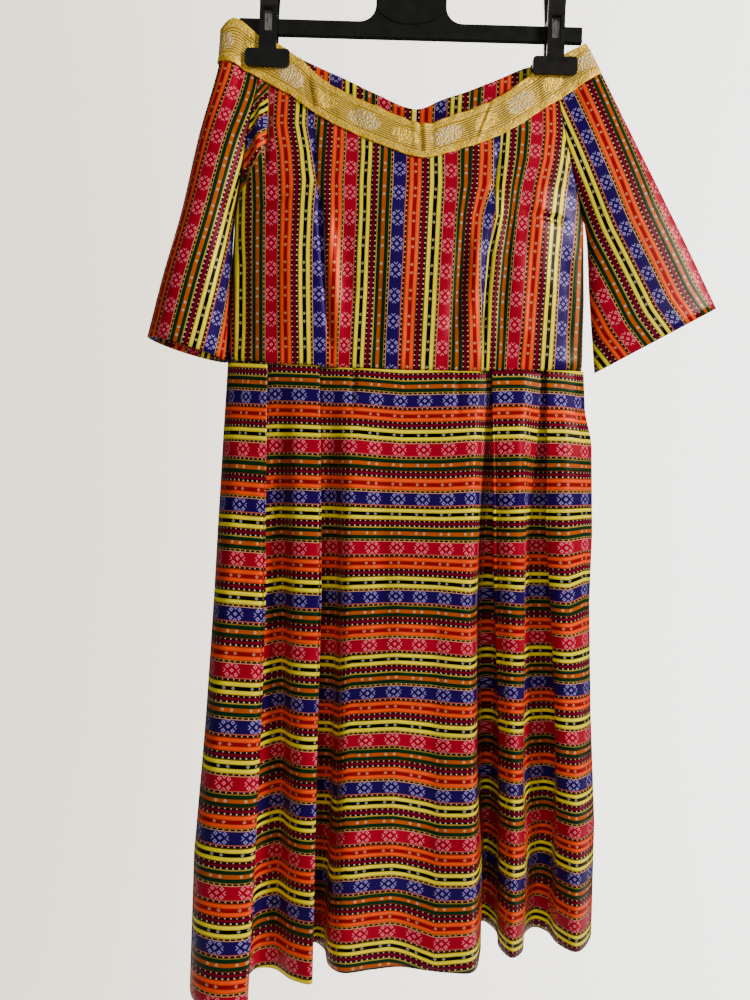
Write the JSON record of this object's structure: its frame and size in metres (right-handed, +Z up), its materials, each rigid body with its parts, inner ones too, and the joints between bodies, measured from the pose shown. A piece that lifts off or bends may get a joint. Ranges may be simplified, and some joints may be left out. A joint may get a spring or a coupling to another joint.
{
  "type": "chut thai dress hanging on a clip hanger",
  "caption": "Off-shoulder Thai dress in striped satin with short sleeves, a gold neck ribbon and a pleated skirt, held by a black clip hanger.",
  "frame": {"origin": "inside top of the hanger's hook, where a rail or peg carries it", "axes": "+Z up, the dress faces -Y, +X to the right of someone who looks at its front"},
  "size_m": [0.6291, 0.2322, 1.1357],
  "materials": {
    "brocade": "striped satin brocade",
    "gold_ribbon": "metallic gold brocade ribbon",
    "black_plastic": "moulded, semi-gloss",
    "steel": "bright spring and wire",
    "zip_metal": "enamelled zip metal"
  },
  "bodies": {
    "root": {"bodice_front": "brocade", "bodice_back_left": "brocade", "bodice_back_right": "brocade", "sleeve_left": "brocade", "sleeve_right": "brocade", "neck_ribbon": "gold_ribbon", "skirt_front": "brocade", "skirt_back_left": "brocade", "skirt_back_right": "brocade", "hanger_bar": "black_plastic", "hanger_hook": "steel", "clip_left_front": "black_plastic", "clip_left_back": "black_plastic", "clip_right_front": "black_plastic", "clip_right_back": "black_plastic", "spring_left": "steel", "spring_right": "steel", "zip_slider": "zip_metal"},
    "pull": {"zip_pull": "zip_metal"}
  },
  "joints": [
    {"name": "zip_pull_hinge", "type": "hinge", "parent": "root", "child": "pull", "pos_m": [0.009, 0.0195, -0.214], "axis": [1, 0, 0], "range_deg": [0, 150]}
  ]
}
